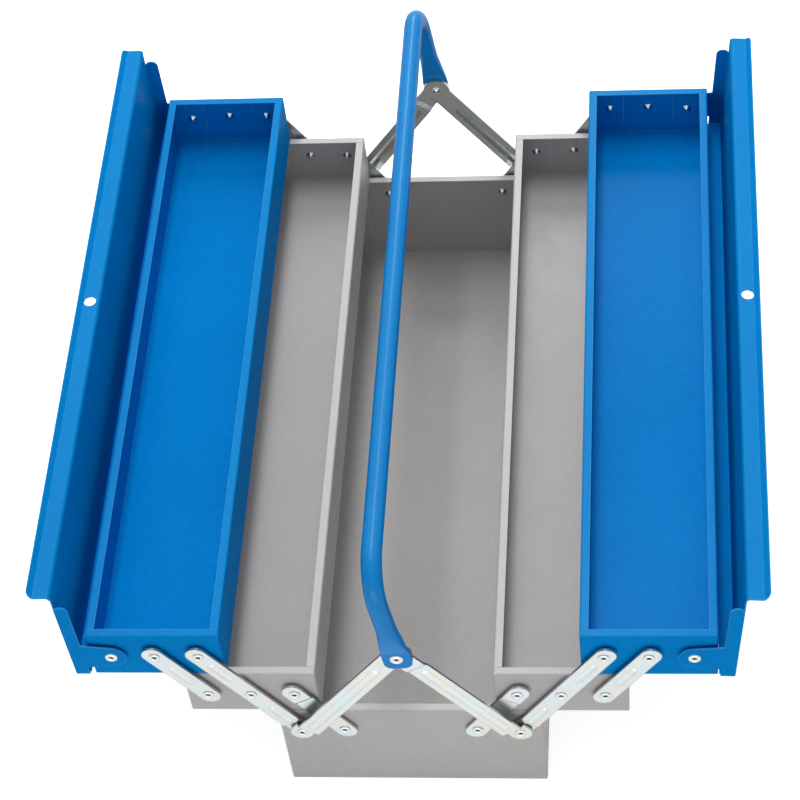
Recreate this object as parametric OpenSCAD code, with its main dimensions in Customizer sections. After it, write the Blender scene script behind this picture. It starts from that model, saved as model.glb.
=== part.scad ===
// Cantilever tool box with five trays, standing open as in the photograph.
// Frame: origin at the middle of the underside, +Z up, +X to the right, +Y to the rear end.
// "d" is a distance measured outward from the face of an end plate.

/* [Trays] */
// length of every tray, from end plate to end plate
tray_length = 550; // [450:10:700]
// width of the bottom tray, which is the width of the closed box
box_width = 200; // [190:2:260]
// height of the bottom tray
bottom_height = 101; // [95:1:130]
// height of each upper tray
tray_height = 50.5; // [48:0.5:62]
// free height between two stacked trays
stack_gap = 0.5; // [0.4:0.1:1.5]
// free width between the closed left and right upper trays
middle_gap = 2; // [1:0.5:6]
// thickness of the tray and lid sheet
sheet = 1; // [0.8:0.1:1.4]
// width of the flange turned inward round a tray's rim
rim_width = 6.5; // [5:0.5:9]
// outer radius where the rim flange is folded from the wall
rim_bend = 1.6; // [1.5:0.1:2.4]
// outer radius of the bottom tray's long lower edges
bottom_bend = 4; // [2:0.5:6]
// outer radius of the other lower edges
floor_bend = 2; // [1.5:0.1:3]
// width of the open joint between two rim flanges at a corner
rim_joint = 0.3; // [0.3:0.1:1]
// width of the tab folded from a side wall behind an end plate
tab_width = 28; // [24:1:30]
// part of the tray height that a corner tab reaches down
tab_share = 0.74; // [0.6:0.02:0.85]

/* [Linkage] */
// distance from a tray's side wall to its outer pivots
pivot_edge = 17; // [14:0.5:20]
// distance from a tray's rim down to its lever pivots
pivot_drop = 21; // [18:0.5:26]
// sideways travel of each tier, to either side of its pivot below
swing = 32.5; // [28:0.5:34]
// width of the flat steel levers, links and stays
bar_width = 16; // [14:0.5:18]
// thickness of the levers, links and stays
bar_sheet = 2; // [1.5:0.1:2]
// distance from an end pivot to the centre of a lever's round end
bar_overhang = 2.5; // [1:0.5:4]
// height of the pressed ribs
rib_height = 0.8; // [0.5:0.1:1]
// width of the pressed ribs
rib_width = 5.6; // [4:0.2:7]
// length of the pressed ribs, with their ends
rib_length = 26; // [20:1:28]
// distance from the middle pivot to the centre of a long lever's rib
rib_offset = 35; // [32:0.5:36]
// thickness of a spacer under a lever in the main plane
spacer_height = 2.5; // [2.3:0.1:3]
// depth of the step near a lever's or link's lower spacer
joggle = 1; // [0.6:0.1:1]
// distance from the pivot to the start of that step
joggle_start = 10; // [9.6:0.1:12]
// length of the sloping part of the step
joggle_run = 2; // [1.5:0.1:4]

/* [Rivets] */
// radius of a tubular rivet's shank
shank_r = 2.5; // [2:0.1:3]
// radial clearance of a lever, link, ear or handle on its rivet
running_fit = 0.05; // [0.02:0.01:0.1]
// end play of a lever, link, ear or handle on its rivet
end_play = 0.1; // [0.05:0.05:0.3]
// radius of the hole in a rivet's rolled end
rivet_bore_r = 1.5; // [1:0.1:1.8]
// radius of the domed head inside a tray
head_r = 3.9; // [3.6:0.1:4.5]
// height of the domed head
head_height = 2.4; // [1.5:0.1:2.8]
// radius of the rolled end on a lever pivot
ring_r = 4.4; // [4:0.1:5]
// height of the rolled end
ring_height = 1.2; // [0.8:0.1:1.2]
// outer radius of the spacers
spacer_r = 5.2; // [4.6:0.1:6]

/* [Handle and stays] */
// height of the handle pivot above the underside
handle_pivot_z = 197; // [190:1:200]
// height of the grip's centre line above the handle pivot
grip_height = 96; // [90:1:130]
// diameter of the handle tube
tube_d = 15; // [12:0.5:15]
// wall thickness of the handle tube
tube_wall = 1.2; // [1:0.1:1.2]
// centre line radius of the handle's two bends
tube_bend = 34; // [25:1:45]
// angle the handle leans to the left at rest
handle_lean = 6.3; // [0:0.1:12]
// width of the handle's flattened ends
flat_width = 23; // [20:0.5:26]
// thickness of the handle's flattened ends
flat_sheet = 2.8; // [2.8:0.1:4]
// distance from the handle pivot down to the end of the flat
flat_drop = 12; // [9:0.5:14]
// distance from the handle pivot up to the end of the flat
flat_rise = 7; // [6:0.5:12]
// height above the pivot where the tube is fully round
round_rise = 30; // [24:1:40]
// sheet thickness of a stay
stay_sheet = 1.6; // [1.2:0.1:2]
// width of a stay
stay_width = 17.4; // [14:0.2:18]
// free space behind a stay's long flat, up to the end of the trays
stay_out = 9.4; // [8.8:0.1:11]
// free space between a long lever's lower end and the stay's foot
stay_foot_gap = 1; // [0.3:0.1:1.2]
// radius of a stay's head round the handle pivot
stay_head_r = 11; // [9:0.5:12]
// radius of a stay's round lower end
stay_foot_r = 8.9; // [8:0.1:9]
// length of the pressed rib on a stay
stay_rib = 100; // [60:5:100]
// width of the pressed rib on a stay
stay_rib_width = 7; // [5:0.2:8]
// height of the pressed rib on a stay
stay_rib_height = 1.2; // [0.6:0.1:1.4]

/* [Lids] */
// distance from the lid pivot out to the lid panel's outer face
panel_out = 31.2; // [31.2:0.1:36]
// distance from a top tray's rim down to the lid pivot
lid_drop = 22.6; // [22.6:0.1:24]
// distance from the lid pivot to the folded edge of the panel
fold_up = 78; // [76:0.5:80]
// distance from the lid pivot down to the skirt's outer face
skirt_down = 22; // [20:0.5:24]
// free space between the skirt's edge and the tray wall, lid upright
skirt_clear = 2.3; // [2.2:0.1:3]
// angle the open left lid leans outward from upright
lid_lean_left = 1; // [0:0.5:4]
// angle the open right lid leans outward from upright
lid_lean_right = 4; // [0:0.5:4]
// width of the lip along the lid's free edge
lip_width = 16; // [14:0.5:18]
// outer radius of the fold between panel and lip
lip_bend = 3; // [2:0.5:4]
// width of the slanting hem at the lip's edge
hem_width = 4.2; // [3:0.2:5]
// angle of the hem
hem_angle = 40; // [20:5:50]
// radius of the lip's outer corners
lip_corner = 5; // [2:0.5:6]
// radius of the padlock hole
lock_hole_r = 4.75; // [3:0.25:4.75]
// radius of the ear round the lid pivot
ear_r = 11.5; // [9:0.5:12]
// width of the ear strip along the panel's end
ear_strip = 10.7; // [8:0.1:12]
// distance from the lid pivot up to the ear's rounded top
ear_top = 65; // [50:1:68]
// width of the slit between the skirt and the ear
skirt_slit = 0.8; // [0.4:0.1:1.5]

/* [Hidden] */
$fn = 64;
half_length = tray_length / 2;
tray_width = (box_width - middle_gap) / 2;
rise = tray_height + stack_gap;
pitch = tray_width / 2 - pivot_edge;
lever_angle = atan2(swing, rise);
half_lever = sqrt(swing * swing + rise * rise);
rim_1 = bottom_height;
rim_2 = rim_1 + rise;
rim_3 = rim_2 + rise;
floor_2 = rim_1 + stack_gap;
floor_3 = rim_2 + stack_gap;

// pivot positions on the right side, as [x, z]
pivot_a = [box_width / 2 - pivot_edge, rim_1 - pivot_drop];
pivot_b = [pivot_a[0] - pitch, pivot_a[1]];
pivot_m1 = [pivot_a[0] + swing, pivot_a[1] + rise];
pivot_m2 = [pivot_m1[0] - pitch, pivot_m1[1]];
pivot_m3 = [pivot_m1[0] + pitch, pivot_m1[1]];
pivot_t1 = [pivot_m1[0] + swing, pivot_m1[1] + rise];
pivot_t3 = [pivot_t1[0] + pitch, pivot_t1[1]];
pivot_p = [pivot_t3[0] + pitch, rim_3 - lid_drop];
pivot_h = [0, handle_pivot_z];
middle_x = pivot_m1[0];
top_x = pivot_t3[0];

// planes of the bars, as distances d
lever_d = spacer_height + end_play;
low_d = lever_d - joggle;
low_spacer = spacer_height - joggle;
ring_d = lever_d + bar_sheet + end_play;
body_gap = 0.3;
stay_foot_d = low_d + bar_sheet + stay_foot_gap;
stay_d = stay_out;
stay_outer_d = stay_d + stay_sheet;
handle_d = stay_outer_d + stay_sheet + body_gap;
tube_d_mid = handle_d + flat_sheet / 2;
hole_r = shank_r + running_fit;
ear_d = spacer_height + end_play;
ear_outer_d = ear_d + sheet;
lid_half = half_length + ear_outer_d;
lip_flat_in = panel_out - sheet + lip_bend;
lip_flat_out = panel_out + lip_width - hem_width;
stay_run = [pivot_h[0] - pivot_a[0], pivot_h[1] - pivot_a[1]];
stay_length = sqrt(stay_run[0] * stay_run[0] + stay_run[1] * stay_run[1]);
stay_angle = atan2(stay_run[1], stay_run[0]);
over = 1;
big = 400;

grey = [0.62, 0.62, 0.63];
blue = [0.05, 0.45, 0.78];
zinc = [0.84, 0.85, 0.86];

// placing helpers

module to_side(side) {
  if (side < 0) mirror([1, 0, 0]) children();
  else children();
}

module to_end(end) {
  if (end > 0) mirror([0, 1, 0]) children();
  else children();
}

// local x is x, local y is z and local z is d, at the front end plate
module on_plate() {
  translate([0, -half_length, 0]) rotate([90, 0, 0]) children();
}

module at_ends() {
  to_end(-1) on_plate() children();
  to_end(1) on_plate() children();
}

module both_sides() {
  to_side(1) children();
  to_side(-1) children();
}

// flat shapes

// rectangle standing on y = 0, with its own lower and upper corner radii
module standing_rect(w, h, r_low, r_high) {
  for (s = [-1, 1]) {
    translate([s * (w / 2 - r_low), r_low]) circle(r_low);
    translate([s * (w / 2 - r_high), h - r_high]) circle(r_high);
  }
  translate([-w / 2 + r_low, 0]) square([w - 2 * r_low, h / 2]);
  translate([-w / 2 + r_high, h / 2]) square([w - 2 * r_high, h / 2]);
  translate([-w / 2, r_low]) square([w, h - r_low - r_high]);
}

// bar outline from x0 to x1, rounded beyond both ends
module stadium(x0, x1, w) {
  translate([x0, -w / 2]) square([x1 - x0, w]);
  translate([x0, 0]) circle(w / 2);
  translate([x1, 0]) circle(w / 2);
}

// quarter of a bent sheet, from the +x direction round to +y
module bend_quarter(r, t) {
  intersection() {
    difference() {
      circle(r);
      circle(r - t);
    }
    square([r, r]);
  }
}

// trays

module tray_block(w, l, h, r_side, r_end, r_rim) {
  intersection() {
    translate([0, l / 2, 0]) rotate([90, 0, 0])
      linear_extrude(l) standing_rect(w, h, r_side, r_rim);
    translate([-w / 2, 0, 0]) rotate([90, 0, 90])
      linear_extrude(w) standing_rect(l, h, r_end, r_rim);
    linear_extrude(h)
      translate([0, -l / 2]) standing_rect(w, l, r_rim, r_rim);
  }
}

module tray_tab(w, h) {
  drop = h * tab_share;
  translate([w / 2 - sheet / 2 - tab_width, -half_length + sheet / 2, h - drop])
    cube([tab_width, 1.5 * sheet, drop - sheet / 2]);
}

module rim_joints(w, h) {
  for (sx = [-1, 1], sy = [-1, 1]) {
    translate([sx * (w / 2 - rim_width / 2 - rim_bend), sy * (half_length - rim_width - rim_joint / 2), h])
      cube([rim_width + 0.02, rim_joint, 3 * sheet], center = true);
  }
}

module tray(w, h, r_side) {
  difference() {
    union() {
      difference() {
        tray_block(w, tray_length, h, r_side, floor_bend, rim_bend);
        translate([0, 0, sheet])
          tray_block(w - 2 * sheet, tray_length - 2 * sheet, h - 2 * sheet,
                     r_side - sheet, floor_bend - sheet, rim_bend - sheet);
        translate([0, 0, h])
          cube([w - 2 * rim_width, tray_length - 2 * rim_width, 4 * sheet], center = true);
        rim_joints(w, h);
      }
      both_sides() {
        tray_tab(w, h);
        mirror([0, 1, 0]) tray_tab(w, h);
      }
    }
    children();
  }
}

// rivet hole through an end plate and its tab
module rivet_hole(p) {
  translate([p[0], p[1], -4 * sheet]) cylinder(r = shank_r, h = 5 * sheet);
}

module bottom_tray() {
  color(grey) tray(box_width, bottom_height, bottom_bend)
    at_ends() for (s = [-1, 1], p = [pivot_a, pivot_b]) rivet_hole([s * p[0], p[1]]);
}

module middle_tray(side) {
  color(grey) to_side(side) translate([middle_x, 0, floor_2])
    tray(tray_width, tray_height, floor_bend)
      translate([-middle_x, 0, -floor_2])
        at_ends() for (p = [pivot_m1, pivot_m2, pivot_m3]) rivet_hole(p);
}

module top_tray(side) {
  color(blue) to_side(side) translate([top_x, 0, floor_3])
    tray(tray_width, tray_height, floor_bend)
      translate([-top_x, 0, -floor_3])
        at_ends() for (p = [pivot_t1, pivot_t3, pivot_p]) rivet_hole(p);
}

// bars: a side profile of steps, cut to an outline

function lifted(path, t) = [for (i = [len(path) - 1:-1:0]) [path[i][0], path[i][1] + t]];

module stepped_plate(path, t) {
  half = 2 * stay_head_r;
  translate([0, half, 0]) rotate([90, 0, 0])
    linear_extrude(2 * half) polygon(concat(path, lifted(path, t)));
}

module stepped_bar(path, t, top) {
  intersection() {
    stepped_plate(path, t);
    translate([0, 0, -over]) linear_extrude(top + 2 * over) children();
  }
}

// pressed rib of width w and height h centred at x, on the plane z = 0 and reaching sink below it
module rib(x, length, w, h, sink) {
  r = (w * w / 4 + h * h) / (2 * h);
  intersection() {
    translate([x - length / 2, -w / 2, -sink]) cube([length, w, 2 * h + sink]);
    translate([x, 0, h - r]) {
      rotate([0, 90, 0]) cylinder(r = r, h = length - w, center = true);
      translate([length / 2 - w / 2, 0, 0]) sphere(r);
      translate([w / 2 - length / 2, 0, 0]) sphere(r);
    }
  }
}

module pivot_bore(x) {
  translate([x, 0, -over]) cylinder(r = hole_r, h = big);
}

module ribbed_bar(path, length, ribs, bores) {
  top = lever_d + bar_sheet;
  difference() {
    union() {
      stepped_bar(path, bar_sheet, top) stadium(-bar_overhang, length + bar_overhang, bar_width);
      for (x = ribs) translate([0, 0, top]) rib(x, rib_length, rib_width, rib_height, 0.2);
    }
    for (x = ribs) translate([0, 0, lever_d]) rib(x, rib_length, rib_width, rib_height, 0);
    for (x = bores) pivot_bore(x);
  }
}

module along(p, angle) {
  translate([p[0], p[1], 0]) rotate([0, 0, angle]) children();
}

module long_lever(side, end) {
  length = 2 * half_lever;
  far = length + bar_width;
  path = [[-bar_width, low_d], [joggle_start, low_d],
          [joggle_start + joggle_run, lever_d], [far, lever_d]];
  color(zinc) to_side(side) to_end(end) on_plate() along(pivot_a, 90 - lever_angle)
    ribbed_bar(path, length, [half_lever - rib_offset, half_lever + rib_offset],
               [0, half_lever, length]);
}

module lower_link(side, end) {
  step = half_lever - joggle_start;
  path = [[-bar_width, low_d], [step - joggle_run, low_d],
          [step, lever_d], [half_lever + bar_width, lever_d]];
  color(zinc) to_side(side) to_end(end) on_plate() along(pivot_b, 90 - lever_angle)
    ribbed_bar(path, half_lever, [], [0, half_lever]);
}

module upper_link(side, end) {
  path = [[-bar_width, lever_d], [half_lever + bar_width, lever_d]];
  color(zinc) to_side(side) to_end(end) on_plate() along(pivot_m3, 90 - lever_angle)
    ribbed_bar(path, half_lever, [half_lever / 2], [0, half_lever]);
}

// stays between the bottom tray and the handle; local x runs from pivot A to pivot H

module stay_bar(head_d) {
  foot_flat = 7;
  foot_ramp = 4;
  head_flat = 20;
  head_ramp = 4;
  path = [[-bar_width, stay_foot_d], [foot_flat, stay_foot_d],
          [foot_flat + foot_ramp, stay_d],
          [stay_length - head_flat - head_ramp, stay_d],
          [stay_length - head_flat, head_d], [stay_length + bar_width, head_d]];
  rib_mid = (foot_flat + foot_ramp + stay_length - head_flat - head_ramp) / 2;
  difference() {
    union() {
      stepped_bar(path, stay_sheet, head_d + stay_sheet) {
        circle(stay_foot_r);
        translate([0, -stay_width / 2]) square([stay_length, stay_width]);
        translate([stay_length, 0]) circle(stay_head_r);
      }
      translate([0, 0, stay_d + stay_sheet])
        rib(rib_mid, stay_rib, stay_rib_width, stay_rib_height, 0.2);
    }
    translate([0, 0, stay_d]) rib(rib_mid, stay_rib, stay_rib_width, stay_rib_height, 0);
    translate([0, 0, -over]) {
      cylinder(r = shank_r, h = big);
      translate([stay_length, 0, 0]) cylinder(r = shank_r, h = big);
    }
  }
}

// turn = 0 keeps the front end, turn = 180 gives the opposite corner at the rear end
module stay(side, turn, head_d) {
  color(zinc) rotate([0, 0, turn]) to_side(side)
    on_plate() along(pivot_a, stay_angle) stay_bar(head_d);
}

// rivets and spacers

module ring_end(r) {
  mid = (r + rivet_bore_r) / 2;
  half = (r - rivet_bore_r) / 2;
  round_r = (half * half + ring_height * ring_height) / (2 * ring_height);
  rotate_extrude() intersection() {
    translate([mid, ring_height - round_r]) circle(round_r);
    translate([rivet_bore_r, 0]) square([r - rivet_bore_r, ring_height]);
  }
}

module dome() {
  r = (head_r * head_r + head_height * head_height) / (2 * head_height);
  intersection() {
    translate([0, 0, head_height - r]) sphere(r);
    cylinder(r = head_r, h = head_height);
  }
}

// head_at and ring_at are the planes d under the head and under the rolled end
module rivet(p, head_at, ring_at, r) {
  translate([p[0], p[1], 0]) {
    difference() {
      union() {
        translate([0, 0, head_at]) cylinder(r = shank_r, h = ring_at - head_at);
        translate([0, 0, head_at]) mirror([0, 0, 1]) dome();
        translate([0, 0, ring_at]) ring_end(r);
      }
      translate([0, 0, head_at + sheet]) cylinder(r = rivet_bore_r, h = big);
    }
  }
}

module spacer(p, h) {
  translate([p[0], p[1], 0]) difference() {
    cylinder(r = spacer_r, h = h);
    translate([0, 0, -over]) cylinder(r = shank_r, h = h + 2 * over);
  }
}

module rivets_base() {
  color(zinc) both_sides() at_ends() {
    rivet(pivot_a, -2 * sheet, stay_foot_d + stay_sheet, ring_r);
    rivet(pivot_b, -sheet, low_d + bar_sheet + end_play, ring_r);
  }
}

module rivets_handle() {
  color(zinc) at_ends() rivet(pivot_h, stay_d, handle_d + flat_sheet + end_play, ring_r + 0.6);
}

module rivets_middle(side) {
  color(zinc) to_side(side) at_ends() {
    rivet(pivot_m1, -sheet, ring_d, ring_r);
    rivet(pivot_m2, -2 * sheet, ring_d, ring_r);
    rivet(pivot_m3, -2 * sheet, ring_d, ring_r);
  }
}

module rivets_top(side) {
  color(zinc) to_side(side) at_ends() {
    rivet(pivot_t1, -2 * sheet, ring_d, ring_r);
    rivet(pivot_t3, -sheet, ring_d, ring_r);
    rivet(pivot_p, -2 * sheet, ear_outer_d + end_play, ring_r + 0.35);
  }
}

module spacers_base() {
  color(zinc) both_sides() at_ends() {
    spacer(pivot_a, low_spacer);
    spacer(pivot_b, low_spacer);
  }
}

module spacers_middle(side) {
  color(zinc) to_side(side) at_ends()
    for (p = [pivot_m1, pivot_m2, pivot_m3]) spacer(p, spacer_height);
}

module spacers_top(side) {
  color(zinc) to_side(side) at_ends()
    for (p = [pivot_t1, pivot_t3, pivot_p]) spacer(p, spacer_height);
}

// lids, drawn upright: x outward from the lid pivot, z up from it

module side_profile(l) {
  translate([0, l / 2, 0]) rotate([90, 0, 0]) linear_extrude(l) children();
}

module panel_profile() {
  r = 2 * sheet;
  translate([panel_out - sheet, r - skirt_down]) square([sheet, fold_up - lip_bend + skirt_down - r]);
  translate([panel_out - r, r - skirt_down]) mirror([0, 1]) bend_quarter(r, sheet);
  skirt_in = pivot_edge + skirt_clear;
  translate([skirt_in, -skirt_down]) square([panel_out - r - skirt_in, sheet]);
}

module lip_profile() {
  x_flat = lip_flat_in;
  x_hem = lip_flat_out;
  translate([x_flat, fold_up - lip_bend]) mirror([1, 0]) bend_quarter(lip_bend, sheet);
  translate([x_flat, fold_up - sheet]) square([x_hem - x_flat, sheet]);
  translate([x_hem, fold_up - sheet / 2]) {
    circle(sheet / 2);
    rotate(hem_angle) {
      translate([0, -sheet / 2]) square([hem_width / cos(hem_angle) - sheet / 2, sheet]);
      translate([hem_width / cos(hem_angle) - sheet / 2, 0]) circle(sheet / 2);
    }
  }
}

function tangent_angle(p) =
  acos(ear_r / sqrt(p[0] * p[0] + p[1] * p[1])) - atan2(p[0], p[1]);

module ear_profile() {
  strip_in = panel_out - ear_strip;
  high = [strip_in, 15];
  low = [strip_in - 0.5, -13.3];
  a = tangent_angle(high);
  b = tangent_angle([low[0], -low[1]]);
  circle(ear_r);
  polygon([
    [-ear_r * sin(a), ear_r * cos(a)],
    [-ear_r * sin(b), -ear_r * cos(b)],
    low,
    [panel_out - ear_strip / 2, 0],
    high
  ]);
  translate([low[0], -skirt_down]) square([panel_out - low[0], skirt_down]);
  translate([strip_in, -over]) square([ear_strip, ear_top - ear_strip / 2 + over]);
  translate([panel_out - ear_strip / 2, ear_top - ear_strip / 2]) circle(ear_strip / 2);
}

// folded pan whose end walls become the ears
module ear_pan() {
  r = 1.8 * sheet;
  l = 2 * lid_half;
  translate([0, 0, -big / 2]) linear_extrude(big) difference() {
    translate([0, -lid_half]) rounded_end(panel_out, l, r);
    translate([-over, sheet - lid_half]) rounded_end(panel_out - sheet + over, l - 2 * sheet, r - sheet);
  }
}

// rectangle from x = -20 to x1 with its two outer corners rounded
module rounded_end(x1, l, r) {
  x0 = -20;
  translate([x0, 0]) square([x1 - r - x0, l]);
  translate([x0, r]) square([x1 - x0, l - 2 * r]);
  translate([x1 - r, r]) circle(r);
  translate([x1 - r, l - r]) circle(r);
}

module lip_corner_cut() {
  x1 = panel_out + lip_width + over;
  y1 = lid_half + over;
  translate([0, 0, fold_up - 2 * lip_width]) linear_extrude(4 * lip_width) difference() {
    translate([x1 - lip_corner - over, y1 - lip_corner - over]) square(lip_corner + 2 * over);
    translate([x1 - lip_corner - over, y1 - lip_corner - over]) circle(lip_corner);
  }
}

module lid_shape() {
  difference() {
    union() {
      side_profile(2 * (lid_half - sheet - skirt_slit)) panel_profile();
      intersection() {
        ear_pan();
        side_profile(2 * lid_half + 2) union() {
          ear_profile();
        }
      }
      side_profile(2 * lid_half) lip_profile();
    }
    lip_corner_cut();
    mirror([0, 1, 0]) lip_corner_cut();
    translate([(lip_flat_in + lip_flat_out) / 2, 0, fold_up - 5 * sheet])
      cylinder(r = lock_hole_r, h = 10 * sheet);
    translate([0, lid_half + over, 0]) rotate([90, 0, 0]) cylinder(r = hole_r, h = 2 * lid_half + 2 * over);
  }
}

module lid(side) {
  color(blue) to_side(side) translate([pivot_p[0], 0, pivot_p[1]])
    rotate([0, side < 0 ? lid_lean_left : lid_lean_right, 0]) lid_shape();
}

// handle, drawn upright: z up from its pivot

module flat_outline(w, low, high) {
  r = 6;
  intersection() {
    translate([0, -low]) standing_rect(w, low + high + r, r, r);
    translate([-w, -low]) square([2 * w, low + high]);
  }
}

module flat_end(w, t, low, high) {
  translate([0, t / 2, 0]) rotate([90, 0, 0]) linear_extrude(t) flat_outline(w, low, high);
}

// thin slice from y = y0 to y = y1
module slab(w, y0, y1, z) {
  translate([-w / 2, y0, z]) cube([w, y1 - y0, 0.01]);
}

module disc(d, z) {
  translate([0, 0, z]) cylinder(r = d / 2, h = 0.01, $fn = 48);
}

// the pressed end opens into the round tube, which it enters 0.25 under size;
// its inner face stays flat past the stay's head
module tube_end(y_in) {
  flat_to = stay_head_r + 1.2;
  flat_end(flat_width, flat_sheet, flat_drop, flat_rise);
  hull() {
    slab(flat_width, -y_in, y_in, flat_rise);
    slab(flat_width - 2, -y_in - 2, y_in, flat_to);
  }
  hull() {
    slab(flat_width - 2, -y_in - 2, y_in, flat_to);
    disc(tube_d - 0.5, round_rise + 0.4);
  }
}

module tube_end_bore(slit) {
  flat_to = stay_head_r + 1.2;
  hull() {
    slab(tube_d, -slit / 2, slit / 2, flat_to);
    disc(tube_d - 2 * tube_wall - 0.5, round_rise + 0.4);
  }
  translate([-tube_d / 2, -slit / 2, -flat_drop - over])
    cube([tube_d, slit, flat_drop + flat_to + over]);
}

module tube_path(r) {
  y_arm = half_length + tube_d_mid;
  y_bend = y_arm - tube_bend;
  z_bend = grip_height - tube_bend;
  for (m = [0, 1]) mirror([0, m, 0]) {
    translate([0, -y_arm, round_rise]) cylinder(r = r, h = z_bend - round_rise);
    translate([0, -y_bend, z_bend]) rotate([90, 0, -90])
      rotate_extrude(angle = 90) translate([tube_bend, 0]) circle(r);
  }
  translate([0, y_bend, grip_height]) rotate([90, 0, 0]) cylinder(r = r, h = 2 * y_bend);
}

module handle() {
  y_arm = half_length + tube_d_mid;
  inner_r = tube_d / 2 - tube_wall;
  slit = 0.3;
  color(blue) translate([pivot_h[0], 0, pivot_h[1]]) rotate([0, -handle_lean, 0])
    difference() {
      union() {
        tube_path(tube_d / 2);
        for (m = [0, 1]) mirror([0, m, 0]) translate([0, -y_arm, 0]) {
          tube_end(flat_sheet / 2);
        }
      }
      tube_path(inner_r);
      for (m = [0, 1]) mirror([0, m, 0]) translate([0, -y_arm, 0]) {
        tube_end_bore(slit);
        translate([0, flat_sheet, 0]) rotate([90, 0, 0]) cylinder(r = hole_r, h = 2 * flat_sheet);
      }
    }
}

bottom_tray();
middle_tray(-1);  // middle_tray_left
middle_tray(1);  // middle_tray_right
top_tray(-1);  // top_tray_left
top_tray(1);  // top_tray_right
lid(-1);  // lid_left
lid(1);  // lid_right
handle();
long_lever(-1, -1);  // long_lever_front_left
long_lever(1, -1);  // long_lever_front_right
long_lever(-1, 1);  // long_lever_rear_left
long_lever(1, 1);  // long_lever_rear_right
lower_link(-1, -1);  // lower_link_front_left
lower_link(1, -1);  // lower_link_front_right
lower_link(-1, 1);  // lower_link_rear_left
lower_link(1, 1);  // lower_link_rear_right
upper_link(-1, -1);  // upper_link_front_left
upper_link(1, -1);  // upper_link_front_right
upper_link(-1, 1);  // upper_link_rear_left
upper_link(1, 1);  // upper_link_rear_right
stay(-1, 0, stay_d);  // stay_front_left
stay(1, 0, stay_outer_d);  // stay_front_right
stay(1, 180, stay_outer_d);  // stay_rear_left
stay(-1, 180, stay_d);  // stay_rear_right
rivets_base();
rivets_handle();
rivets_middle(-1);  // rivets_middle_left
rivets_middle(1);  // rivets_middle_right
rivets_top(-1);  // rivets_top_left
rivets_top(1);  // rivets_top_right
spacers_base();
spacers_middle(-1);  // spacers_middle_left
spacers_middle(1);  // spacers_middle_right
spacers_top(-1);  // spacers_top_left
spacers_top(1);  // spacers_top_right
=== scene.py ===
import math

import bmesh
import bpy
import numpy as np
from mathutils import Matrix, Vector


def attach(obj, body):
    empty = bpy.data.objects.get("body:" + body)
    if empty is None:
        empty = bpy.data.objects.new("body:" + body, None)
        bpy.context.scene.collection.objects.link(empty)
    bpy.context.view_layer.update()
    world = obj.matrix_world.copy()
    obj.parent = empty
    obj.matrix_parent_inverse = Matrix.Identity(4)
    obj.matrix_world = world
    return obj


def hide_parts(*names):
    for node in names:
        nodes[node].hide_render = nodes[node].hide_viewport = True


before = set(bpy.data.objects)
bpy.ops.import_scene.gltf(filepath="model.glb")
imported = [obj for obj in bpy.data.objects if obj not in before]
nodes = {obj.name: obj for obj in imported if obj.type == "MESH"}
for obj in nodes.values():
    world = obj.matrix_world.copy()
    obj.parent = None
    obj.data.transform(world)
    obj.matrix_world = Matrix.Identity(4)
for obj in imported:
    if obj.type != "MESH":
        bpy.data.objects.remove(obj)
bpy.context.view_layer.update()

print("box: frame loaded,", len(nodes), "nodes")


# a function that takes s gets one of the settings dictionaries

def rotation(degrees, axis):
    return Matrix.Rotation(math.radians(degrees), 4, axis)


def addObject(name, data):
    made = bpy.data.objects.new(name, data)
    bpy.context.scene.collection.objects.link(made)
    return made


# camera, from the fit of the photograph's points
cameraSettings = {
    "place": (0.19941, -1.27964, 1.74902),   # metres
    "pitch": -51.272,                        # degrees, down is negative
    "yaw": 9.751,
    "roll": 8.154,
    "focalPixels": 2563.96,                  # for a picture as wide as pictureWidth
    "pictureWidth": 800,
    "sensor": 36,                            # millimetres
    "nearest": 0.05,                         # metres
    "farthest": 50,
}


def makeCamera(s):
    data = bpy.data.cameras.new("photoCamera")
    data.sensor_fit = "HORIZONTAL"
    data.sensor_width = s["sensor"]
    data.lens = s["focalPixels"] / s["pictureWidth"] * s["sensor"]
    data.clip_start = s["nearest"]
    data.clip_end = s["farthest"]
    camera = addObject("photoCamera", data)
    turn = rotation(s["yaw"], "Z") @ rotation(s["pitch"], "X") @ rotation(s["roll"], "Y")
    level = rotation(90, "X")    # looks along +Y, with +Z up
    camera.matrix_world = Matrix.Translation(s["place"]) @ turn @ level
    bpy.context.scene.camera = camera


makeCamera(cameraSettings)
print("box: camera placed")


# links a Sock to a node's input, or sets the input to a value
def plug(value, slot, tree):
    if isinstance(value, Sock):
        tree.links.new(value.out, slot)
    else:
        slot.default_value = value


# one output of a node; an expression on Socks adds its Math nodes
class Sock:
    def __init__(self, tree, out):
        self.tree = tree
        self.out = out

    def maths(self, operation, *values):
        node = self.tree.nodes.new("ShaderNodeMath")
        node.operation = operation
        for slot, value in zip(node.inputs, values):
            plug(value, slot, self.tree)
        return Sock(self.tree, node.outputs[0])

    def __add__(self, other):
        return self.maths("ADD", self, other)

    def __sub__(self, other):
        return self.maths("SUBTRACT", self, other)

    def __rsub__(self, other):
        return self.maths("SUBTRACT", other, self)

    def __mul__(self, other):
        return self.maths("MULTIPLY", self, other)

    __radd__ = __add__
    __rmul__ = __mul__

    # the larger of the two
    def over(self, other):
        return self.maths("MAXIMUM", self, other)

    # 1 where the value is above the limit, otherwise 0
    def above(self, limit):
        return self.maths("GREATER_THAN", self, limit)

    def below(self, limit):
        return self.maths("LESS_THAN", self, limit)


bevelSamples = 4    # rays that find the rounded normal at a point


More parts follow.
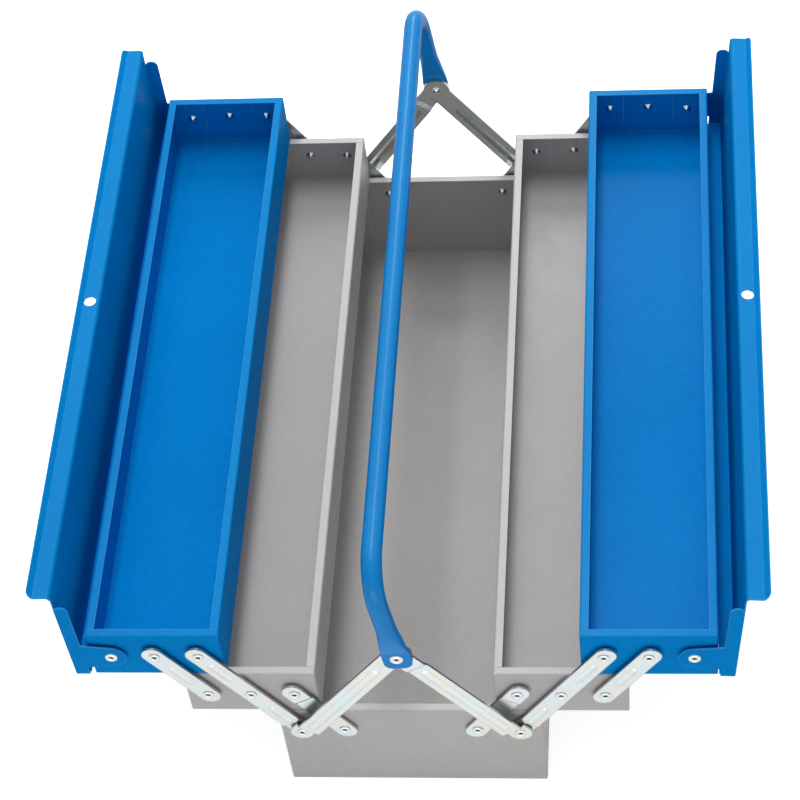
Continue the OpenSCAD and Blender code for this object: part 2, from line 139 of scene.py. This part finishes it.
# the nodes of a material or world; node() makes any node from its type, settings and socket values
class Shading:
    def __init__(self, owner, place="Object"):
        self.owner = owner
        owner.use_nodes = True
        self.tree = owner.node_tree
        self.tree.nodes.clear()
        self.place = self.node("ShaderNodeTexCoord", out=place)    # on a piece, or a world's direction

    def node(self, kind, settings=None, inputs=None, out=0):
        made = self.tree.nodes.new(kind)
        for key, value in (settings or {}).items():
            setattr(made, key, value)
        for key, value in (inputs or {}).items():
            plug(value, made.inputs[key], self.tree)
        return Sock(self.tree, made.outputs[out])

    def noise(self, scale, detail, roughness=0.5, distortion=0.0, place=None):
        return self.node("ShaderNodeTexNoise", {"noise_dimensions": "3D"},
                         {"Vector": place or self.place, "Scale": scale, "Detail": detail,
                          "Roughness": roughness, "Distortion": distortion})

    # noise stretched so that its value low gives 0 and high gives 1
    def pattern(self, low, high, **noise):
        return self.between(self.noise(**noise), low, high)

    # 0 below low, 1 above high, straight between
    def between(self, value, low, high):
        return self.node("ShaderNodeMapRange", {"clamp": True},
                         {"Value": value, "From Min": low, "From Max": high})

    # from the low colour to the high one; the Mix node's colours are its inputs 6 and 7 and output 2
    def blend(self, factor, low, high):
        low, high = (c if isinstance(c, Sock) else (*c, 1) for c in (low, high))
        return self.node("ShaderNodeMix", {"data_type": "RGBA"}, {"Factor": factor, 6: low, 7: high}, out=2)

    def stretched(self, scale):
        return self.node("ShaderNodeMapping", {}, {"Vector": self.place, "Scale": scale})

    def upPart(self, vector):
        return self.node("ShaderNodeSeparateXYZ", {}, {0: vector}, out="Z")

    # 1 along folds and cut edges, 0 on the flats, from the cosine between the rounded normal and the face's
    def edges(self, width, low, high):
        rounded = self.node("ShaderNodeBevel", {"samples": bevelSamples}, {"Radius": width})
        own = self.node("ShaderNodeNewGeometry", out="Normal")
        cosine = self.node("ShaderNodeVectorMath", {"operation": "DOT_PRODUCT"}, {0: rounded, 1: own},
                           out="Value")
        return 1 - self.between(cosine, low, high)

    # 1 where a piece, as it stands in the photograph, faces up and lies between two heights
    def ledge(self, bottom, top, low, high):
        facing = self.between(self.upPart(self.node("ShaderNodeTexCoord", out="Normal")), low, high)
        height = self.upPart(self.place)
        return facing * height.above(bottom) * height.below(top)

    def bump(self, height, strength, distance):
        return self.node("ShaderNodeBump", {},
                         {"Height": height, "Strength": strength, "Distance": distance})

    def surface(self, inputs):
        return self.node("ShaderNodeBsdfPrincipled", {}, inputs)

    def finish(self, kind, shader):
        end = self.tree.nodes.new(kind)
        plug(shader, end.inputs["Surface"], self.tree)
        return self.owner


# paints; colours are linear, lengths and heights in metres, noise scales per metre
stovedPaint = {
    "cloud": {"scale": 9, "detail": 4, "low": 0.30, "high": 0.70},       # slow drift of the colour
    "speck": {"scale": 380, "detail": 2, "low": 0.40, "high": 0.60},     # fine grain
    "cloudShare": 0.5,                  # the specks have the rest
    "paintedHighlightCosines": (0.88, 0.99),        # of the rounded normal, for the full painted highlight and for none
    "paintedHighlightMost": 0.9,
    "highlightNoise": {"scale": 60, "detail": 4, "roughness": 0.6, "low": 0.30, "high": 0.60},
    "highlightNoiseShare": 0.5,                    # how far noise makes the painted edge highlight uneven
    "ledgeCosines": (0.80, 0.95),       # of a rim's normal, for no painted highlight and for all of it
    "roughness": 0.37,                  # where it is smoothest
    "smear": {"scale": 38, "detail": 5, "distortion": 0.6, "low": 0.35, "high": 0.75},
    "smearRough": 0.14,                 # added in the smears
    "peelDetail": 1,                    # orange peel
    "peelStrength": 0.35,
}
bluePaint = {
    **stovedPaint,
    "deep": (0.0004, 0.206, 0.585),
    "light": (0.0008, 0.252, 0.670),
    "gloss": 0.0,
    "coat": 0.045,
    "coatRoughness": 0.22,
    "paintedHighlight": (0.120, 0.500, 0.860),      # painted highlight along the folds and edges, standing in for their sheen
    "paintedHighlightWidth": 0.0008,
    "rimHighlightHeights": [(0.195, 0.3)],             # heights between which up-facing rims and lips get a painted highlight
    "rimHighlightMost": 0.10,
    "peelScale": 900,
    "peelHeight": 0.00004,
}
handlePaint = {
    **bluePaint,
    "roughness": 0.31,
    "coat": 0.34,
    "coatRoughness": 0.26,
}
greyPaint = {
    **stovedPaint,
    "deep": (0.452, 0.440, 0.434),
    "light": (0.508, 0.492, 0.482),
    "gloss": 0.20,
    "coat": 0.03,
    "coatRoughness": 0.25,
    # painted highlight along the folds and edges
    "paintedHighlight": (0.760, 0.750, 0.740),
    "paintedHighlightWidth": 0.0010,
    "paintedHighlightMost": 0.8,
    # painted highlight on the up-facing rims at these heights
    "rimHighlightHeights": [(0.0990, 0.1015), (0.1495, 0.1530)],
    "rimHighlightMost": 0.36,
    "peelScale": 1100,
    "peelHeight": 0.00003,
}


def makePaint(name, s):
    paint = Shading(bpy.data.materials.new(name))
    tone = paint.pattern(**s["cloud"]) * s["cloudShare"] + paint.pattern(**s["speck"]) * (1 - s["cloudShare"])
    uneven = paint.pattern(**s["highlightNoise"]) * s["highlightNoiseShare"] + (1 - s["highlightNoiseShare"])
    # painted highlight: lighter along folds and cut edges, broken up by noise
    paintedHighlight = paint.edges(s["paintedHighlightWidth"], *s["paintedHighlightCosines"]) * uneven * s["paintedHighlightMost"]
    # painted highlight on up-facing rims and lips, lighter than the walled-in floors
    for bottom, top in s["rimHighlightHeights"]:
        paintedHighlight = paintedHighlight.over(paint.ledge(bottom, top, *s["ledgeCosines"]) * s["rimHighlightMost"])
    colour = paint.blend(paintedHighlight, paint.blend(tone, s["deep"], s["light"]), s["paintedHighlight"])
    rough = paint.pattern(**s["smear"]) * s["smearRough"] + s["roughness"]
    peel = paint.noise(s["peelScale"], s["peelDetail"])
    normal = paint.bump(peel, s["peelStrength"], s["peelHeight"])
    shader = paint.surface({"Base Color": colour, "Roughness": rough, "Normal": normal,
                            "Specular IOR Level": s["gloss"], "Coat Weight": s["coat"],
                            "Coat Roughness": s["coatRoughness"]})
    return paint.finish("ShaderNodeOutputMaterial", shader)


# bare metal, in the same units
zincPlate = {
    "cool": (0.560, 0.625, 0.640),
    "warm": (0.640, 0.605, 0.535),
    "patch": {"scale": 55, "detail": 3, "distortion": 0.4, "low": 0.42, "high": 0.70},   # cool to warm
    "dull": (0.420, 0.430, 0.425),
    "stain": {"scale": 120, "detail": 6, "roughness": 0.65, "low": 0.55, "high": 0.80},
    "stainMost": 0.45,
    # painted shade: a darker colour for the creases, rib edges and folds
    "crease": (0.230, 0.235, 0.230),
    "creaseShadeWidth": 0.0013,
    "creaseShadeCosines": (0.92, 0.998),
    "creaseShadeMost": 0.75,
    "metal": 0.94,
    "brushScale": (220, 2200, 2200),    # brush marks run along X
    "brushDetail": 3,
    "brushStrength": 0.12,
    "brushHeight": 0.00002,
    "roughness": 0.21,                  # where it is smoothest
    "brushRough": 0.12,                 # added by the brush marks
    "patchRough": 0.08,                 # added in the patches
}
rivetSteel = {
    **zincPlate,
    # weaker painted shade along the rivets' edges
    "creaseShadeMost": 0.35,
    "metal": 1.0,
    "roughness": 0.14,
}


def makeZinc(name, s):
    paint = Shading(bpy.data.materials.new(name))
    patch = paint.pattern(**s["patch"])
    plate = paint.blend(patch, s["cool"], s["warm"])
    stained = paint.blend(paint.pattern(**s["stain"]) * s["stainMost"], plate, s["dull"])
    # painted shade along creases, rib edges and folds
    crease = paint.edges(s["creaseShadeWidth"], *s["creaseShadeCosines"]) * s["creaseShadeMost"]
    colour = paint.blend(crease, stained, s["crease"])
    brushed = paint.noise(1.0, s["brushDetail"], place=paint.stretched(s["brushScale"]))   # scaled by place
    rough = brushed * s["brushRough"] + patch * s["patchRough"] + s["roughness"]
    normal = paint.bump(brushed, s["brushStrength"], s["brushHeight"])
    shader = paint.surface({"Base Color": colour, "Roughness": rough, "Metallic": s["metal"],
                            "Normal": normal})
    return paint.finish("ShaderNodeOutputMaterial", shader)


finishes = {
    "blue": makePaint("bluePaint", bluePaint),
    "handle": makePaint("handlePaint", handlePaint),
    "grey": makePaint("greyPaint", greyPaint),
    "zinc": makeZinc("zincPlate", zincPlate),
    "rivet": makeZinc("rivetSteel", rivetSteel),
}


def finishFor(name):
    if name.startswith(("lid", "top_tray", "handle")):
        return finishes["blue"]
    if name.startswith(("bottom_tray", "middle_tray")):
        return finishes["grey"]
    if name.startswith("rivets"):
        return finishes["rivet"]
    return finishes["zinc"]


def dress(piece, finish):
    piece.data.materials.clear()
    piece.data.materials.append(finish)


for name, node in nodes.items():
    dress(node, finishFor(name))
print("box: paints and plating on")


# handle: one tube surface, pressed flat at both ends; heights are above the pivot
handleSettings = {
    "pivot": (0.0, 0.0, 0.197),
    "lean": -6.3,            # degrees about +Y
    "armY": 0.2893,          # from the middle to the arms' centre line
    "gripZ": 0.096,
    "bend": 0.029,           # radius of the centre line between arm and grip
    "tubeRadius": 0.00749,
    "flatWidth": 0.0212,
    "flatThick": 0.0028,
    "flatLow": -0.012,       # lowest point
    "endRound": 0.006,       # radius of the low end's corners
    "crease": 0.007,         # where the outer face starts to swell
    "innerCrease": 0.0122,   # the inner face stays flat past the stay's head
    "roundFrom": 0.040,      # above this the section is a circle
    "taper": 1.5,            # how fast the width goes from flat to tube
    "outerBulge": 0.6,       # how early the faces swell
    "innerBulge": 0.4,
    "squareness": 7,         # of the flat's section, on top of an ellipse's power of 2
    "endStep": 12,           # degrees between rings on the rounded end
    "flatStep": 0.0025,      # between rings on the flat
    "swellRings": 14,
    "bendRings": 19,
    "around": 48,
    "holeRadius": 0.00255,
    "holeAround": 32,
    "bitLength": 0.02,
    "sharpFrom": 18,         # degrees between faces, from which an edge is shaded sharp
}


# section at heights z: half width, outer and inner depth, and power, with u from 0 at the crease to 1 where
# the tube is round. Half is r + (flatWidth / 2 - r) * (1 - u)^taper, less the rounding of the low end, a
# depth is thin + (r - thin) * ((1 + bulge) * u - bulge * u^2), and power is 2 + squareness * (1 - u)^2
def armSection(s, z):
    r = s["tubeRadius"]
    thin = s["flatThick"] / 2

    def swell(crease):
        return np.clip((z - crease) / (s["roundFrom"] - crease), 0, 1)

    def depth(u, bulge):
        return thin + (r - thin) * ((1 + bulge) * u - bulge * u ** 2)

    u = swell(s["crease"])
    half = r + (s["flatWidth"] / 2 - r) * (1 - u) ** s["taper"]
    pastCorner = np.clip((s["flatLow"] + s["endRound"] - z) / s["endRound"], 0, 1)
    half = half - s["endRound"] * (1 - np.sqrt(1 - pastCorner ** 2))
    power = 2 + s["squareness"] * (1 - u) ** 2
    return half, depth(u, s["outerBulge"]), depth(swell(s["innerCrease"]), s["innerBulge"]), power


# centre line as arrays y, z and turn: up the front arm at turn 0, round a quarter circle, over the grip at a
# quarter turn, and down the back arm at half a turn
def centreLine(s):
    endTurn = np.radians(np.arange(0, 90, s["endStep"]))
    heights = np.concatenate([s["flatLow"] + s["endRound"] * (1 - np.cos(endTurn)),
                              np.arange(s["flatLow"] + s["endRound"], s["crease"], s["flatStep"]),
                              np.linspace(s["crease"], s["roundFrom"], s["swellRings"])])
    quarter = np.linspace(0, math.pi / 2, s["bendRings"])
    turn = np.append(np.zeros(len(heights)), quarter)
    y = s["bend"] * (1 - np.cos(turn)) - s["armY"]
    z = np.append(heights, s["gripZ"] - s["bend"] * (1 - np.sin(quarter)))
    return np.append(y, -y[::-1]), np.append(z, z[::-1]), np.append(turn, math.pi - turn[::-1])


# rings of points along the centre line, each |x / half|^power + |out / depth|^power = 1, where out is the
# distance outward from the line and depth the outer or the inner one
def handleRings(s):
    y, z, turn = (values[:, None] for values in centreLine(s))
    half, outer, inner, power = armSection(s, z)
    angle = np.linspace(0, 2 * math.pi, s["around"], endpoint=False)
    cosine, sine = np.cos(angle), np.sin(angle)
    x = half * np.sign(cosine) * np.abs(cosine) ** (2 / power)
    out = np.where(sine > 0, outer, inner) * np.sign(sine) * np.abs(sine) ** (2 / power)
    return np.stack([x, y - out * np.cos(turn), z + out * np.sin(turn)], axis=2)


# skins rings with quads and closes both ends
def loft(name, rings):
    count, around = rings.shape[:2]
    here = np.arange(around)
    after = np.roll(here, -1)
    start = (np.arange(count - 1) * around)[:, None]
    sides = np.stack([start + here, start + after, start + around + after, start + around + here], axis=2)
    ends = [here[::-1].tolist(), (here + (count - 1) * around).tolist()]
    mesh = bpy.data.meshes.new(name)
    mesh.from_pydata(rings.reshape(-1, 3).tolist(), [], sides.reshape(-1, 4).tolist() + ends)
    mesh.update()
    return addObject(name, mesh)


def faceOutward(mesh):
    made = bmesh.new()
    made.from_mesh(mesh)
    bmesh.ops.recalc_face_normals(made, faces=made.faces)
    made.to_mesh(mesh)
    made.free()


# puts the modifiers' result into the piece's own mesh
def settle(piece):
    bpy.context.view_layer.update()
    graph = bpy.context.evaluated_depsgraph_get()
    result = bpy.data.meshes.new_from_object(piece.evaluated_get(graph))
    old = piece.data
    piece.modifiers.clear()
    piece.data = result
    result.name = piece.name
    bpy.data.meshes.remove(old)


# a round hole through the piece, along Y
def drill(piece, place, radius, length, around):
    bit = bpy.data.meshes.new("bit")
    made = bmesh.new()
    bmesh.ops.create_cone(made, cap_ends=True, segments=around, radius1=radius, radius2=radius,
                          depth=length, matrix=Matrix.Translation(place) @ rotation(90, "X"))
    made.to_mesh(bit)
    made.free()
    cutter = addObject("bit", bit)
    cut = piece.modifiers.new("hole", "BOOLEAN")
    cut.operation = "DIFFERENCE"
    cut.solver = "EXACT"
    cut.object = cutter
    settle(piece)
    bpy.data.objects.remove(cutter)
    bpy.data.meshes.remove(bit)


def makeHandle(s):
    piece = loft("handleTube", handleRings(s))
    faceOutward(piece.data)
    for y in (-s["armY"], s["armY"]):
        drill(piece, (0, y, 0), s["holeRadius"], s["bitLength"], s["holeAround"])
    piece.data.transform(Matrix.Translation(s["pivot"]) @ rotation(s["lean"], "Y"))
    piece.data.shade_smooth()
    piece.data.set_sharp_from_angle(angle=math.radians(s["sharpFrom"]))
    dress(piece, finishes["handle"])
    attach(piece, "handle")
    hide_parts("handle")


makeHandle(handleSettings)
print("box: handle made")


# pale floor, backdrop and light
stageSettings = {
    "white": (1, 1, 1, 1),
    "floorSize": 8.0,
    "floorColour": (0.80, 0.80, 0.80, 1),
    "floorGlow": 0.75,        # only as it is seen, so that the floor is white and keeps the shadow
    "worldLight": 0.60,       # straight up
    "worldRim": 0.20,         # at the horizon and below
    "lamps": {
        "back": {"place": (0, 2.5, 1.8), "size": (0.6, 1.8), "watts": 34, "aim": (0, 0, 0.1)},
        "overhead": {"place": (0, 0.8, 3.2), "size": (0.5, 2.0), "watts": 35, "aim": (0, 0, 0.1)},
        "front": {"place": (0, -3.0, 0.45), "size": (2.8, 0.9), "watts": 25, "aim": (0, 0, 0.15)},
    },
}


# 1 for rays from the camera, and for those that see it in gloss or glass
def seenRay(shading):
    def ray(kind):
        return shading.node("ShaderNodeLightPath", out=kind)
    return ray("Is Camera Ray").over(ray("Is Glossy Ray")).over(ray("Is Transmission Ray"))


def makeFloor(s):
    half = s["floorSize"] / 2
    corners = [(-half, -half, 0), (half, -half, 0), (half, half, 0), (-half, half, 0)]
    mesh = bpy.data.meshes.new("floor")
    mesh.from_pydata(corners, [], [(0, 1, 2, 3)])
    floor = addObject("floor", mesh)
    paint = Shading(bpy.data.materials.new("floorPaint"))
    matt = paint.node("ShaderNodeBsdfDiffuse", {}, {"Color": s["floorColour"]})
    glow = paint.node("ShaderNodeEmission", {},
                      {"Color": s["white"], "Strength": seenRay(paint) * s["floorGlow"]})
    both = paint.node("ShaderNodeAddShader", {}, {0: matt, 1: glow})
    dress(floor, paint.finish("ShaderNodeOutputMaterial", both))


# white where it is seen; its light falls from worldLight overhead to worldRim at the horizon
def makeWorld(s):
    studio = Shading(bpy.data.worlds.new("studio"), place="Generated")
    upward = studio.upPart(studio.place).over(0.0)
    light = upward * (s["worldLight"] - s["worldRim"]) + s["worldRim"]
    strength = seenRay(studio) * (1 - light) + light
    back = studio.node("ShaderNodeBackground", {}, {"Color": s["white"], "Strength": strength})
    bpy.context.scene.world = studio.finish("ShaderNodeOutputWorld", back)


def makeLamp(name, s):
    data = bpy.data.lights.new(name, "AREA")
    data.shape = "RECTANGLE"
    data.size, data.size_y = s["size"]
    data.energy = s["watts"]
    aim = Vector(s["aim"]) - Vector(s["place"])
    turn = aim.to_track_quat("-Z", "Y").to_matrix().to_4x4()
    lamp = addObject(name, data)
    lamp.matrix_world = Matrix.Translation(s["place"]) @ turn


makeFloor(stageSettings)
makeWorld(stageSettings)
for name, lamp in stageSettings["lamps"].items():
    makeLamp(name, lamp)
bpy.context.scene.view_settings.view_transform = "Standard"
print("box: floor and lights set")
